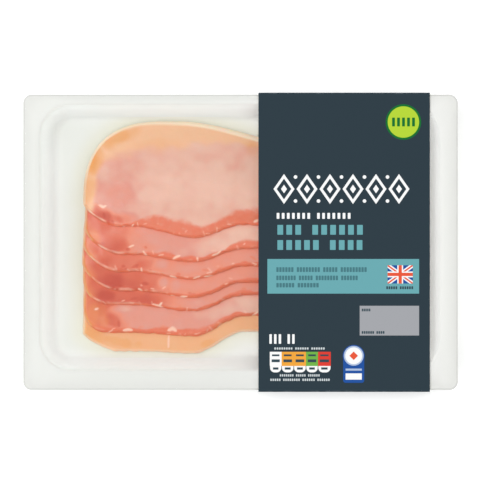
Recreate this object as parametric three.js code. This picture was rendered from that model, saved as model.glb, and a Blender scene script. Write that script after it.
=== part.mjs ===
import * as THREE from 'three';

// A pack of back bacon: a shallow formed tray, seven rashers fanned out in it, a clear lid film
// over its flange and a card sleeve round the right-hand part.
// Millimetres, +Z up. The pack lies flat with its front up. Its length runs along X, the fan steps
// down towards -Y, and the origin is under the middle of the pack, on the surface that it lies on.

const FIT = 0.3; // space left between two pieces that touch

// Card sleeve: a flattened tube whose side panels lean in towards the base
const BOARD = 0.5;
const SLEEVE_FROM = 10.3;
const SLEEVE_LENGTH = 98.6;
const SLEEVE_TOP_WIDTH = 172.6;
const SLEEVE_BASE_WIDTH = 165;
const FOLD_RADIUS = 1.2;

// Tray: its edge, the mouth of its recess inside the flange, and the wall from mouth to floor
const TRAY_LENGTH = 250;
const TRAY_WIDTH = 170;
const TRAY_CORNER = 5;
const TRAY_WALL = 0.8;
const TRAY_HEIGHT = 18.6;
const FLANGE_LEFT = 9.8;
const FLANGE_RIGHT = 10.4;
const FLANGE_FAR = 5.8;
const FLANGE_NEAR = 11.5;
const MOUTH_CORNER = 18;
const MOUTH_BEND = 1.6;
const WALL_RUN = 8;
const FLOOR_BEND = 3;
const CORNER_STEPS = 6;

// Lid film, sealed on the flange just inside the tray's edge
const FILM_THICKNESS = 0.2;
const FILM_INSET = 1;

// Rashers: a wide eye at the left that narrows to a tail at the right
const RASHER_LENGTH = 189;
const RASHER_THICKNESS = 2.1;
const RASHER_SPACE = 0.4;
const EYE_WIDTH = 67;
const TAIL_FALL = 15.5; // how far the far edge comes down from eye to tail
const TAIL_START = -36;
const TAIL_RUN = 84;
const WAVE_START = -27; // where the near edge climbs from eye to tail
const WAVE_RUN = 29;
const LEAN_RUN = 34; // and where it climbs towards the left end
const RIGHT_TIP = 30; // the tail's outermost point, above the near edge
const SHOULDER = 48; // how long each end's corners are, and how full
const SHOULDER_POWER = 2.6;
const HEEL = 20;
const TAIL_END = 24;
const TAIL_END_POWER = 2.2;
const EDGE_ROUND = 1.2; // the cut edge thins out over this width
const EDGE_SHARE = 0.55;
const DRAPE = 22; // how far out a rasher starts to rise over the one below

// The fan from its top rasher down: the step towards -Y from the one above, the left end, how far
// the near edge climbs at the wave and towards the left end, how high above the near edge the left
// end's outermost point is, and how full the corner under it is
const FAN = [
  { step: 0, left: -90.6, wave: 7.4, lean: 6.3, tip: 20, heel: 1.5 },
  { step: 14.2, left: -89.8, wave: 7.8, lean: 4.4, tip: 20, heel: 1.6 },
  { step: 10.1, left: -90.6, wave: 7.8, lean: 4.6, tip: 20, heel: 1.6 },
  { step: 10.3, left: -91.2, wave: 8.7, lean: 3.9, tip: 20, heel: 1.6 },
  { step: 7.7, left: -90.8, wave: 9, lean: 3.5, tip: 20, heel: 2.5 },
  { step: 14.5, left: -90.6, wave: 11.7, lean: 1.9, tip: 20, heel: 3 },
  { step: 9.9, left: -90.9, wave: 12.5, lean: 1.2, tip: 11.5, heel: 1.35 },
];
const FAN_TOP = 2.7; // the top rasher's near edge at its lowest point

// Heights, from the surface up
const TRAY_BASE = BOARD + FIT;
const TRAY_FLOOR = TRAY_BASE + TRAY_WALL;
const FLANGE_TOP = TRAY_BASE + TRAY_HEIGHT;
const FILM_BASE = FLANGE_TOP + FIT;
const SLEEVE_HEIGHT = FILM_BASE + FILM_THICKNESS + FIT + BOARD;

// Rows and columns of a rasher's surface
const ROWS = 8;
const EDGE_ROW = 0.02;
const COLUMNS = 18;
const END_COLUMNS = [0, 0.5, 2, 5, 10];

const CARD = { color: 0x303f47, roughness: 0.55, metalness: 0 };
const PALE_PLASTIC = { color: 0xeeeeea, roughness: 0.35, metalness: 0 };
const CLEAR_FILM = { color: 0xf4f6f5, roughness: 0.08, metalness: 0, transparent: true, opacity: 0.2 };
const LEAN = { color: 0xe6a18c, roughness: 0.42, metalness: 0 };
const FAT = { color: 0xf0b283, roughness: 0.42, metalness: 0 };

const smooth = (t) => THREE.MathUtils.smoothstep(t, 0, 1);

function piece(name, geometry, finish) {
  const mesh = new THREE.Mesh(geometry, new THREE.MeshStandardMaterial(finish));
  mesh.name = name;
  return mesh;
}

// A geometry from triangles given as triples of points; those with two corners alike are dropped.
function fromTriangles(triangles) {
  const whole = triangles.filter(([a, b, c]) => !a.equals(b) && !b.equals(c) && !c.equals(a));
  return new THREE.BufferGeometry().setFromPoints(whole.flat());
}

// The two triangles between the points a, b, c and d, taken anticlockwise as seen from outside.
const quad = (a, b, c, d) => [[a, b, c], [a, c, d]];

const trayEdge = {
  left: -TRAY_LENGTH / 2,
  right: TRAY_LENGTH / 2,
  near: -TRAY_WIDTH / 2,
  far: TRAY_WIDTH / 2,
  corner: TRAY_CORNER,
};

const trayMouth = {
  left: trayEdge.left + FLANGE_LEFT,
  right: trayEdge.right - FLANGE_RIGHT,
  near: trayEdge.near + FLANGE_NEAR,
  far: trayEdge.far - FLANGE_FAR,
  corner: MOUTH_CORNER,
};

function inset(box, by) {
  return {
    left: box.left + by,
    right: box.right - by,
    near: box.near + by,
    far: box.far - by,
    corner: box.corner - by,
  };
}

// The points of a rounded rectangle at height z, anticlockwise from above.
function ring({ left, right, near, far, corner }, z) {
  const centres = [
    [right - corner, far - corner],
    [left + corner, far - corner],
    [left + corner, near + corner],
    [right - corner, near + corner],
  ];
  return centres.flatMap(([x, y], quarter) =>
    Array.from({ length: CORNER_STEPS + 1 }, (_, step) => {
      const angle = (quarter + step / CORNER_STEPS) * Math.PI / 2;
      return new THREE.Vector3(x + corner * Math.cos(angle), y + corner * Math.sin(angle), z);
    }));
}

function middle(points) {
  const box = new THREE.Box3().setFromPoints(points);
  return box.getCenter(new THREE.Vector3());
}

// A closed skin over rings of equal length that run from the underside outwards and over.
function loft(rings) {
  const triangles = [];
  const count = rings[0].length;
  const first = rings[0];
  const last = rings[rings.length - 1];
  for (let i = 0; i < count; i += 1) {
    const next = (i + 1) % count;
    triangles.push([middle(first), first[next], first[i]]);
    triangles.push([middle(last), last[i], last[next]]);
    for (let k = 1; k < rings.length; k += 1) {
      triangles.push(...quad(rings[k - 1][i], rings[k - 1][next], rings[k][next], rings[k][i]));
    }
  }
  return fromTriangles(triangles);
}

// The wall in section, from the flange down to the floor: x is how far it lies inside the mouth.
function wallSection() {
  const depth = TRAY_HEIGHT - TRAY_WALL;
  const slope = new THREE.Vector2(WALL_RUN, -depth).normalize();
  const foot = new THREE.Vector2(WALL_RUN, -depth);
  const path = new THREE.Path();
  path.moveTo(-MOUTH_BEND, 0);
  path.quadraticCurveTo(0, 0, slope.x * MOUTH_BEND, slope.y * MOUTH_BEND);
  path.lineTo(foot.x - slope.x * FLOOR_BEND, foot.y - slope.y * FLOOR_BEND);
  path.quadraticCurveTo(foot.x, foot.y, foot.x + FLOOR_BEND, foot.y);
  return path.getPoints(3);
}

// The same section moved out through the wall's thickness.
function thicken(section) {
  return section.map((point, i) => {
    const before = section[Math.max(i - 1, 0)];
    const after = section[Math.min(i + 1, section.length - 1)];
    const along = after.clone().sub(before).normalize();
    return new THREE.Vector2(point.x + along.y * TRAY_WALL, point.y - along.x * TRAY_WALL);
  });
}

function tray() {
  const inner = wallSection();
  const outer = thicken(inner).reverse();
  const wallRing = (point) => ring(inset(trayMouth, point.x), FLANGE_TOP + point.y);
  return loft([
    ...outer.map(wallRing),
    ring(trayEdge, FLANGE_TOP - TRAY_WALL),
    ring(trayEdge, FLANGE_TOP),
    ...inner.map(wallRing),
  ]);
}

function film() {
  const { left, right, near, far, corner } = inset(trayEdge, FILM_INSET);
  const sheet = new THREE.Shape();
  sheet.absarc(right - corner, far - corner, corner, 0, Math.PI / 2);
  sheet.absarc(left + corner, far - corner, corner, Math.PI / 2, Math.PI);
  sheet.absarc(left + corner, near + corner, corner, Math.PI, Math.PI * 1.5);
  sheet.absarc(right - corner, near + corner, corner, Math.PI * 1.5, Math.PI * 2);
  const geometry = new THREE.ExtrudeGeometry(sheet, {
    depth: FILM_THICKNESS,
    bevelEnabled: false,
    curveSegments: CORNER_STEPS,
  });
  return geometry.translate(0, 0, FILM_BASE);
}

// One face of the sleeve in section, this far inside its outer face, with rounded folds.
function foldedBand(Band, depth) {
  const lean = (SLEEVE_TOP_WIDTH - SLEEVE_BASE_WIDTH) / 2 / SLEEVE_HEIGHT;
  const across = depth * (Math.hypot(1, lean) - lean);
  const topHalf = SLEEVE_TOP_WIDTH / 2 - across - 2 * lean * depth;
  const baseHalf = SLEEVE_BASE_WIDTH / 2 - across;
  const corners = [
    new THREE.Vector2(-baseHalf, depth),
    new THREE.Vector2(baseHalf, depth),
    new THREE.Vector2(topHalf, SLEEVE_HEIGHT - depth),
    new THREE.Vector2(-topHalf, SLEEVE_HEIGHT - depth),
  ];
  const radius = FOLD_RADIUS - depth;
  const band = new Band();
  corners.forEach((corner, i) => {
    const towards = (other) => other.clone().sub(corner).setLength(radius).add(corner);
    const start = towards(corners[(i + 3) % 4]);
    const end = towards(corners[(i + 1) % 4]);
    if (i === 0) band.moveTo(start.x, start.y);
    else band.lineTo(start.x, start.y);
    band.quadraticCurveTo(corner.x, corner.y, end.x, end.y);
  });
  band.closePath();
  return band;
}

function sleeve() {
  const section = foldedBand(THREE.Shape, 0);
  section.holes.push(foldedBand(THREE.Path, BOARD));
  const geometry = new THREE.ExtrudeGeometry(section, {
    depth: SLEEVE_LENGTH,
    bevelEnabled: false,
    curveSegments: 3,
  });
  const alongX = new THREE.Matrix4().makeBasis(
    new THREE.Vector3(0, 1, 0),
    new THREE.Vector3(0, 0, 1),
    new THREE.Vector3(1, 0, 0),
  );
  return geometry.applyMatrix4(alongX).translate(SLEEVE_FROM, 0, 0);
}

// How far a rounded corner has opened at this distance from the tip: 0 at the tip, 1 past reach.
function opening(distance, reach, power) {
  const short = 1 - THREE.MathUtils.clamp(distance / reach, 0, 1);
  return (1 - short ** power) ** (1 / power);
}

// The plan of a rasher: its near and far edges as functions of x, and the loop of points round it.
function plan(low, { left, wave, lean, tip, heel }) {
  const right = left + RASHER_LENGTH;
  const { lerp } = THREE.MathUtils;
  const nearLine = (x) =>
    low + wave * smooth((x - WAVE_START) / WAVE_RUN) + lean * smooth((WAVE_START - x) / LEAN_RUN);
  const farLine = (x) => low + EYE_WIDTH - TAIL_FALL * smooth((x - TAIL_START) / TAIL_RUN);
  const close = (x, y, reach, power) => {
    const fromLeft = lerp(low + tip, y, opening(x - left, reach, power));
    return lerp(low + RIGHT_TIP, fromLeft, opening(right - x, TAIL_END, TAIL_END_POWER));
  };
  const near = (x) => close(x, nearLine(x), HEEL, heel);
  const far = (x) => close(x, farLine(x), SHOULDER, SHOULDER_POWER);

  const reach = END_COLUMNS[END_COLUMNS.length - 1];
  const evenly = Array.from({ length: COLUMNS - 1 }, (_, i) =>
    lerp(left + reach, right - reach, (i + 1) / COLUMNS));
  const columns = [
    ...END_COLUMNS.map((x) => left + x),
    ...evenly,
    ...END_COLUMNS.map((x) => right - x).reverse(),
  ];
  const loop = [
    ...columns.map((x) => new THREE.Vector2(x, near(x))),
    ...columns.slice(1, -1).reverse().map((x) => new THREE.Vector2(x, far(x))),
  ];
  return { left, right, near, far, columns, loop };
}

// The distance from a point to the nearest side of a loop.
function distanceTo(loop, point) {
  const nearest = new THREE.Vector3();
  const spot = new THREE.Vector3(point.x, point.y, 0);
  const distances = loop.map((corner, i) => {
    const next = loop[(i + 1) % loop.length];
    const side = new THREE.Line3(
      new THREE.Vector3(corner.x, corner.y, 0),
      new THREE.Vector3(next.x, next.y, 0),
    );
    return side.closestPointToPoint(spot, true, nearest).distanceTo(spot);
  });
  return Math.min(...distances);
}

// How much of a rasher's thickness lifts what lies over this point: all of it above the rasher,
// and less and less outside its edge.
function lift({ left, right, near, far, loop }, point) {
  const over = point.x > left && point.x < right && point.y > near(point.x) && point.y < far(point.x);
  return over ? 1 : smooth(1 - distanceTo(loop, point) / DRAPE);
}

// A rasher that lies on those below: a slab of even thickness, thinner at its cut edge.
function rasher(own, below) {
  const { near, far, columns, loop } = own;
  const rows = [0];
  for (let i = 0; i <= ROWS; i += 1) rows.push(EDGE_ROW + (1 - 2 * EDGE_ROW) * i / ROWS);
  rows.push(1);

  const upper = [];
  const lower = [];
  for (const x of columns) {
    const spots = rows.map((row) => {
      const point = new THREE.Vector2(x, THREE.MathUtils.lerp(near(x), far(x), row));
      const lifted = below.reduce((sum, other) => sum + lift(other, point), 0);
      const base = TRAY_FLOOR + FIT + lifted * (RASHER_THICKNESS + RASHER_SPACE);
      const full = Math.min(distanceTo(loop, point) / EDGE_ROUND, 1);
      const half = RASHER_THICKNESS / 2 * (EDGE_SHARE + (1 - EDGE_SHARE) * full);
      return { point, centre: base + RASHER_THICKNESS / 2, half };
    });
    upper.push(spots.map((s) => new THREE.Vector3(s.point.x, s.point.y, s.centre + s.half)));
    lower.push(spots.map((s) => new THREE.Vector3(s.point.x, s.point.y, s.centre - s.half)));
  }

  const triangles = [];
  const last = rows.length - 1;
  for (let i = 1; i < columns.length; i += 1) {
    for (let j = 1; j <= last; j += 1) {
      triangles.push(...quad(upper[i - 1][j - 1], upper[i][j - 1], upper[i][j], upper[i - 1][j]));
      triangles.push(...quad(lower[i - 1][j - 1], lower[i - 1][j], lower[i][j], lower[i][j - 1]));
    }
    triangles.push(...quad(lower[i - 1][0], lower[i][0], upper[i][0], upper[i - 1][0]));
    triangles.push(...quad(upper[i - 1][last], upper[i][last], lower[i][last], lower[i - 1][last]));
  }
  return fromTriangles(triangles);
}

// The rashers from the top of the fan down, each lying on all that come after it.
function fan() {
  const plans = [];
  let low = FAN_TOP;
  for (const shape of FAN) {
    low -= shape.step;
    plans.push(plan(low, shape));
  }
  return plans.map((own, i) => rasher(own, plans.slice(i + 1)));
}

const pack = new THREE.Group();
pack.add(piece('tray', tray(), PALE_PLASTIC));
fan().forEach((geometry, i) => {
  pack.add(piece(`rasher_${i + 1}`, geometry, i === FAN.length - 1 ? FAT : LEAN));
});
pack.add(piece('film', film(), CLEAR_FILM));
pack.add(piece('sleeve', sleeve(), CARD));

export default pack;
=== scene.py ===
# %% [markdown]
# # A pack of back bacon
# A shallow formed tray holds seven rashers, fanned out so that each one covers most of the next. A
# clear film is sealed over the tray's flange, and a printed card sleeve holds the right-hand part.
# The solid model already says where every piece goes. This lesson gives each piece its fine surface
# and its finish, working in millimetres and turning them into metres when a mesh is made.

# %% Load the solid model
import bpy
import numpy as np
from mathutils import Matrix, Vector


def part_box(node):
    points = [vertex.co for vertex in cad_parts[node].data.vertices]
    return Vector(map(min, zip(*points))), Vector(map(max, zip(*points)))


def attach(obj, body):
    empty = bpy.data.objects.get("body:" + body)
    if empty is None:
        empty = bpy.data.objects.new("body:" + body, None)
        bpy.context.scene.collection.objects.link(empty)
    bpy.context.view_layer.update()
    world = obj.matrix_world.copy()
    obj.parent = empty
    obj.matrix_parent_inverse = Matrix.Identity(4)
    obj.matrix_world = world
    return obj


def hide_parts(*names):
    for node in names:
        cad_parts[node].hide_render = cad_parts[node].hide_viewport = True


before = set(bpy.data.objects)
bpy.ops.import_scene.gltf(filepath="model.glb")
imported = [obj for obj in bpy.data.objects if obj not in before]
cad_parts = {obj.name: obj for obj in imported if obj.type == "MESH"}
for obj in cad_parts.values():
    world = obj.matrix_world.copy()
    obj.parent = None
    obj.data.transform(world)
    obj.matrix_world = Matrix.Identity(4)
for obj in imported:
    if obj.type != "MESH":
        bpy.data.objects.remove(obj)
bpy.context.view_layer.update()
MM = 0.001
PIXEL = 0.575  # millimetres of the pack for each pixel of the photograph
PHOTO_SIZE = 483
PACK_MIDDLE = np.array([240.5, 242.3])  # the pack's middle, in pixels of the photograph


def from_photo(x, y):
    """A place in the photograph as millimetres on the pack: pixels from the middle, y upwards."""
    return (x - PACK_MIDDLE[0]) * PIXEL, (PACK_MIDDLE[1] - y) * PIXEL


def cad_box(node):
    """A node's lowest and highest corners in millimetres."""
    low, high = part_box(node)
    return np.array(low) / MM, np.array(high) / MM


# %% [markdown]
# ## Camera
# The photograph looks straight down on the pack from far away, so that its edges stay parallel. A
# long lens far above does the same. The distance follows from the width that the frame has to take
# in, and a small sideways step puts the pack's middle on the same pixel as in the photograph.

# %% Camera
LENS = 800
SENSOR = 36

sleeve_low, sleeve_high = cad_box("sleeve")
frame_width = PHOTO_SIZE * PIXEL
camera_height = sleeve_high[2] + frame_width * LENS / SENSOR
camera_x, camera_y = from_photo(PHOTO_SIZE / 2, PHOTO_SIZE / 2)

camera_data = bpy.data.cameras.new("camera")
camera_data.lens = LENS
camera_data.sensor_width = SENSOR
camera_data.clip_end = 20
camera = bpy.data.objects.new("camera", camera_data)
camera.location = (camera_x * MM, camera_y * MM, camera_height * MM)
bpy.context.scene.collection.objects.link(camera)
bpy.context.scene.camera = camera
print(f"camera {camera_height / 1000:.2f} m above the pack, frame {frame_width:.0f} mm wide")

# %% [markdown]
# ## Meshes from arrays
# Every new surface here is a grid of points worked out by numpy as whole arrays. Two helpers turn
# such grids into meshes: one makes any mesh from points and faces, the other closes a stack of rings
# with a fan of triangles at each end. The rings can lie round a body, as slices of bread do, or
# spread out from the middle of its underside and back over its top.

# %% Mesh helpers
def mesh_piece(name, points, faces, rounded=True):
    """A new object from points in millimetres and faces as lists of point numbers."""
    mesh = bpy.data.meshes.new(name)
    mesh.from_pydata((np.asarray(points) * MM).tolist(), [], faces)
    mesh.polygons.foreach_set("use_smooth", np.full(len(mesh.polygons), rounded))
    mesh.update()
    made = bpy.data.objects.new(name, mesh)
    bpy.context.scene.collection.objects.link(made)
    return made


def ring_faces(rings, around):
    """Quads between rings of points numbered ring by ring. They face the way that the step to the
    next ring crossed with the step along the ring points, by the right-hand rule."""
    ring, step = np.meshgrid(np.arange(rings - 1), np.arange(around), indexing="ij")
    after = (step + 1) % around
    corners = [ring * around + step, (ring + 1) * around + step, (ring + 1) * around + after,
               ring * around + after]
    return np.stack(corners, -1).reshape(-1, 4)


def closed_body(name, rings, first, last):
    """A closed body over an array of rings, N by M by 3, with one point closing each end."""
    count, around = rings.shape[:2]
    points = np.concatenate([rings.reshape(-1, 3), [first, last]])
    step = np.arange(around)
    after = (step + 1) % around
    end = (count - 1) * around
    first_fan = np.stack([np.full(around, count * around), step, after], -1)
    last_fan = np.stack([end + step, np.full(around, count * around + 1), end + after], -1)
    faces = ring_faces(count, around).tolist() + first_fan.tolist() + last_fan.tolist()
    return mesh_piece(name, points, faces)


def give_values(piece, name, values):
    """Stores one number for each point of the mesh, for its material to read by name."""
    piece.data.attributes.new(name, "FLOAT", "POINT").data.foreach_set("value", values.astype(np.float32))


def smooth(t):
    """An eased step: 0 up to 0, 1 from 1 on, and 3t^2 - 2t^3 between."""
    t = np.clip(t, 0, 1)
    return t * t * (3 - 2 * t)


def ripple(x, y, wavelength, seed):
    """Gentle unevenness between about -1 and 1: a sum of eight sine waves that run in directions
    spread evenly round, each with its own length and phase."""
    rng = np.random.default_rng(seed)
    total = np.zeros_like(x, dtype=float)
    for turn in range(8):
        direction = (turn + rng.uniform(0, 0.8)) * np.pi / 8
        number = 2 * np.pi / (wavelength * rng.uniform(0.75, 1.4))
        phase = rng.uniform(0, 2 * np.pi)
        total += np.sin((x * np.cos(direction) + y * np.sin(direction)) * number + phase)
    return total / 4


# %% [markdown]
# ## Node helpers
# A material is a small network of nodes. Writing each link by hand hides what it does, so one helper
# makes a node and fills its sockets from plain values or from other nodes' outputs. The others are
# the few steps that every finish here needs: mixing two colours, an eased threshold, and noise.

# %% Node helpers
def node(tree, kind, *given, **settings):
    """A node of this kind. Each input given, in socket order, is a plain value or a node's output."""
    made = tree.nodes.new("ShaderNode" + kind)
    for key, value in settings.items():
        setattr(made, key, value)
    for socket, value in zip(made.inputs, given):
        if isinstance(value, bpy.types.NodeSocket):
            tree.links.new(value, socket)
        else:
            socket.default_value = value
    return made


def mix(tree, share, a, b, blend="MIX"):
    """Colour a turning into colour b as share goes from 0 to 1."""
    made = tree.nodes.new("ShaderNodeMix")
    made.data_type = "RGBA"
    made.blend_type = blend
    for name, value in (("Factor_Float", share), ("A_Color", a), ("B_Color", b)):
        socket = next(s for s in made.inputs if s.identifier == name)
        if isinstance(value, bpy.types.NodeSocket):
            tree.links.new(value, socket)
        else:
            socket.default_value = value
    return next(s for s in made.outputs if s.identifier == "Result_Color")


def maths(tree, operation, *given):
    """The result of one arithmetic step."""
    return node(tree, "Math", *given, operation=operation).outputs[0]


def rise(tree, value, start, end, low=0.0, high=1.0):
    """Eased from low to high as value goes from start to end."""
    made = node(tree, "MapRange", value, start, end, low, high, interpolation_type="SMOOTHSTEP")
    return made.outputs[0]


def noise(tree, place, scale, detail, roughness=0.5):
    """Soft random patches between 0 and 1. scale is how many fit in a metre."""
    made = node(tree, "TexNoise", place)
    made.inputs["Scale"].default_value = scale
    made.inputs["Detail"].default_value = detail
    made.inputs["Roughness"].default_value = roughness
    return made.outputs["Fac"]


def stored(tree, name):
    """The number kept under this name at the mesh's points."""
    return node(tree, "Attribute", attribute_name=name).outputs["Fac"]


def group(name, inputs, outputs):
    """A node group with named sockets. inputs and outputs map a socket's name to its default."""
    tree = bpy.data.node_groups.new(name, "ShaderNodeTree")
    for way, sockets in (("INPUT", inputs), ("OUTPUT", outputs)):
        for title, default in sockets.items():
            kind = "NodeSocketColor" if isinstance(default, tuple) else "NodeSocketFloat"
            tree.interface.new_socket(title, in_out=way, socket_type=kind).default_value = default
    return tree, tree.nodes.new("NodeGroupInput").outputs, tree.nodes.new("NodeGroupOutput").inputs


def use_group(tree, of, **given):
    """Places a group in a material, with these nodes' outputs led into its inputs."""
    made = tree.nodes.new("ShaderNodeGroup")
    made.node_tree = of
    for name, output in given.items():
        tree.links.new(output, made.inputs[name])
    return made.outputs


def colour(red, green, blue):
    """A colour as read off a screen, 0 to 255, turned into the linear numbers that a shader takes."""
    shown = np.array([red, green, blue]) / 255
    linear = np.where(shown <= 0.04045, shown / 12.92, ((shown + 0.055) / 1.055) ** 2.4)
    return (*linear.tolist(), 1.0)


def material(name, **values):
    """A material whose main shader has these plain values. Returns it, its tree and its shader."""
    made = bpy.data.materials.new(name)
    made.use_nodes = True
    shader = made.node_tree.nodes["Principled BSDF"]
    for title, value in values.items():
        shader.inputs[title.replace("_", " ")].default_value = value
    return made, made.node_tree, shader


def bump(tree, shader, height, distance, strength):
    """Lets a height between 0 and 1 tilt the shading, as if it were distance millimetres tall."""
    made = node(tree, "Bump")
    made.inputs["Strength"].default_value = strength
    made.inputs["Distance"].default_value = distance * MM
    tree.links.new(height, made.inputs["Height"])
    tree.links.new(made.outputs[0], shader.inputs["Normal"])


# %% [markdown]
# ## Floor and light
# The photograph has a white ground and hardly any shadow. A pale floor that glows a little, two wide
# soft lights and a bright even sky give that. Both lights stand high at the left, one behind the
# pack and a weaker one in front. None hangs straight above, because the lid film would mirror it
# into the camera, as a window does, and lay a white haze over the meat.

# %% Floor and light
FLOOR_HALF = 2500
FLOOR_DROP = 0.2  # the floor lies this far under the pack, clear of its underside

floor = mesh_piece("floor", [[x, y, -FLOOR_DROP] for x, y in
                             ((-FLOOR_HALF, -FLOOR_HALF), (FLOOR_HALF, -FLOOR_HALF),
                              (FLOOR_HALF, FLOOR_HALF), (-FLOOR_HALF, FLOOR_HALF))], [[0, 1, 2, 3]])
floor_paint, _, _ = material("floor_paint", Base_Color=(0.93, 0.93, 0.93, 1), Roughness=0.9,
                             Emission_Color=(1, 1, 1, 1), Emission_Strength=0.38)
floor.data.materials.append(floor_paint)


def soft_light(name, place, size, power):
    """A square area light, placed and sized in metres, that points at the pack's middle."""
    lamp = bpy.data.lights.new(name, "AREA")
    lamp.size = size
    lamp.energy = power
    made = bpy.data.objects.new(name, lamp)
    made.location = place
    direction = -np.array(place)
    across = np.hypot(direction[0], direction[1])
    made.rotation_euler = (np.arctan2(across, -direction[2]), 0, np.arctan2(-direction[0], direction[1]))
    bpy.context.scene.collection.objects.link(made)


soft_light("key", (-2.6, 1.4, 6.0), 2.8, 165)
soft_light("fill", (-1.6, -2.9, 5.4), 2.6, 55)

world = bpy.data.worlds.new("sky")
world.use_nodes = True
world.node_tree.nodes["Background"].inputs["Color"].default_value = (1, 1, 1, 1)
world.node_tree.nodes["Background"].inputs["Strength"].default_value = 0.6
bpy.context.scene.world = world
bpy.context.scene.view_settings.view_transform = "Standard"
print("floor, sky and two soft lights")

# %% [markdown]
# ## Tray
# The tray is one sheet of pale plastic, warmed and drawn into a mould. That thins it to under a
# millimetre and leaves every bend rounded. A section through the wall is drawn once, from the flange
# down to the floor, and each of its points becomes a rounded rectangle at that height. The rings run
# from the middle of the underside out to the flange's edge and back over the top.

# %% Tray shape
TRAY_WALL = 0.8
FLANGE = {"left": 9.8, "right": 10.4, "near": 11.5, "far": 5.8}
EDGE_CORNER = 5
MOUTH_CORNER = 18
MOUTH_BEND = 1.6
WALL_RUN = 8
FLOOR_BEND = 3
BEND_STEPS = 10
CORNER_POINTS = 16
SIDE_POINTS = 30
FLOOR_RINGS = 40
LIP = 1.1  # the cut edge curls down over this width
LIP_DROP = 0.05
LIP_STEPS = 7
UNDER_LIP = 0.1  # how far the flange's underside stays inside the cut edge

tray_low, tray_high = cad_box("tray")


def rounded_rectangle(left, right, near, far, corner, z):
    """A ring of points, clockwise from above: four quarter circles joined by straight sides."""
    angle = np.arange(4)[:, None] * -np.pi / 2 + np.linspace(np.pi / 2, 0, CORNER_POINTS)
    middle_x = np.array([right - corner, right - corner, left + corner, left + corner])[:, None]
    middle_y = np.array([far - corner, near + corner, near + corner, far - corner])[:, None]
    arcs = np.stack([middle_x + corner * np.cos(angle), middle_y + corner * np.sin(angle),
                     np.full(angle.shape, z)], -1)
    start, end = arcs[:, -1:], np.roll(arcs, -1, 0)[:, :1]
    sides = start + (end - start) * np.linspace(0, 1, SIDE_POINTS + 2)[1:-1, None]
    return np.concatenate([arcs, sides], 1).reshape(-1, 3)


def shrunk(ring, shares):
    """Copies of a flat ring, drawn in towards its middle to these shares of its size."""
    middle = ring.mean(0)
    return [middle + (ring - middle) * share for share in shares]


def tray_edge(inset, z):
    """The tray's outline, moved in."""
    return rounded_rectangle(tray_low[0] + inset, tray_high[0] - inset, tray_low[1] + inset,
                             tray_high[1] - inset, EDGE_CORNER - inset, z)


def mouth(inset, z):
    """The outline of the recess's mouth, moved in."""
    return rounded_rectangle(tray_low[0] + FLANGE["left"] + inset, tray_high[0] - FLANGE["right"] - inset,
                             tray_low[1] + FLANGE["near"] + inset, tray_high[1] - FLANGE["far"] - inset,
                             MOUTH_CORNER - inset, z)


def bend(before, corner, after):
    """A curve that leaves one line for another: the quadratic curve with this corner."""
    t = np.linspace(0, 1, BEND_STEPS)[:, None]
    return (1 - t) ** 2 * np.array(before) + 2 * t * (1 - t) * np.array(corner) + t ** 2 * np.array(after)


flange_top = tray_high[2]
wall_depth = tray_high[2] - tray_low[2] - TRAY_WALL
down = np.array([WALL_RUN, -wall_depth]) / np.hypot(WALL_RUN, wall_depth)
foot = np.array([WALL_RUN, -wall_depth])
section = np.concatenate([bend((-MOUTH_BEND, 0), (0, 0), down * MOUTH_BEND),
                          bend(foot - down * FLOOR_BEND, foot, foot + (FLOOR_BEND, 0))])
along = np.gradient(section, axis=0)
along /= np.linalg.norm(along, axis=1)[:, None]
underside = section + np.stack([along[:, 1], -along[:, 0]], -1) * TRAY_WALL

tray_rings = [mouth(x, flange_top + z) for x, z in underside[::-1]]
tray_rings.append(tray_edge(UNDER_LIP, flange_top - TRAY_WALL))
tray_rings += [tray_edge(LIP * (1 - np.sin(turn)), flange_top - LIP_DROP * (1 - np.cos(turn)))
               for turn in np.linspace(np.pi / 2, 0, LIP_STEPS)]
tray_rings += [mouth(x, flange_top + z) for x, z in section]
tray_rings += shrunk(tray_rings[-1], np.linspace(1, 0.04, FLOOR_RINGS)[1:])
tray_middle = tray_rings[-1].mean(0)
tray = closed_body("tray_shell", np.array(tray_rings), [*tray_middle[:2], tray_low[2]], tray_middle)
print("tray:", len(tray.data.polygons), "faces, floor at", round(tray_middle[2], 2), "mm")

# %% [markdown]
# Milky polypropylene scatters the light a little way under its surface, so it looks soft and never
# quite white. Shares kept at the mesh's points tint it, and most of them paint light and shade: a
# grey line of painted shade along the outermost edge, the wall painted darker and the floor painted
# lighter than the flange, painted light on the foot of the wall, where the bend shades it, painted
# light on the strips beside the sleeve and on the end of the recess beyond it, where the sleeve
# shades them, and round the meat a yellow-grey tint that is partly brine and partly painted shadow.
# They are worked out further down, once the meat is drawn.

# %% Tray finish
# Most of these are painted light and shade: a painted grey line of shade on the rim, the wall painted
# darker and the floor lighter, painted light on the foot of the wall, beside the sleeve and past it, and
# round the meat a tint that is partly brine and partly painted shadow.
TRAY_TINTS = [  # the shares and the colours that they bring in, each over the ones before it
    ("depth", (186, 197, 189)), ("floor", (226, 229, 222)), ("foot", (250, 252, 247)),
    ("beside", (248, 249, 244)), ("thin", (255, 255, 252)), ("brine_and_shade", (219, 216, 189)),
    ("rim", (180, 181, 178)),
]

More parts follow.
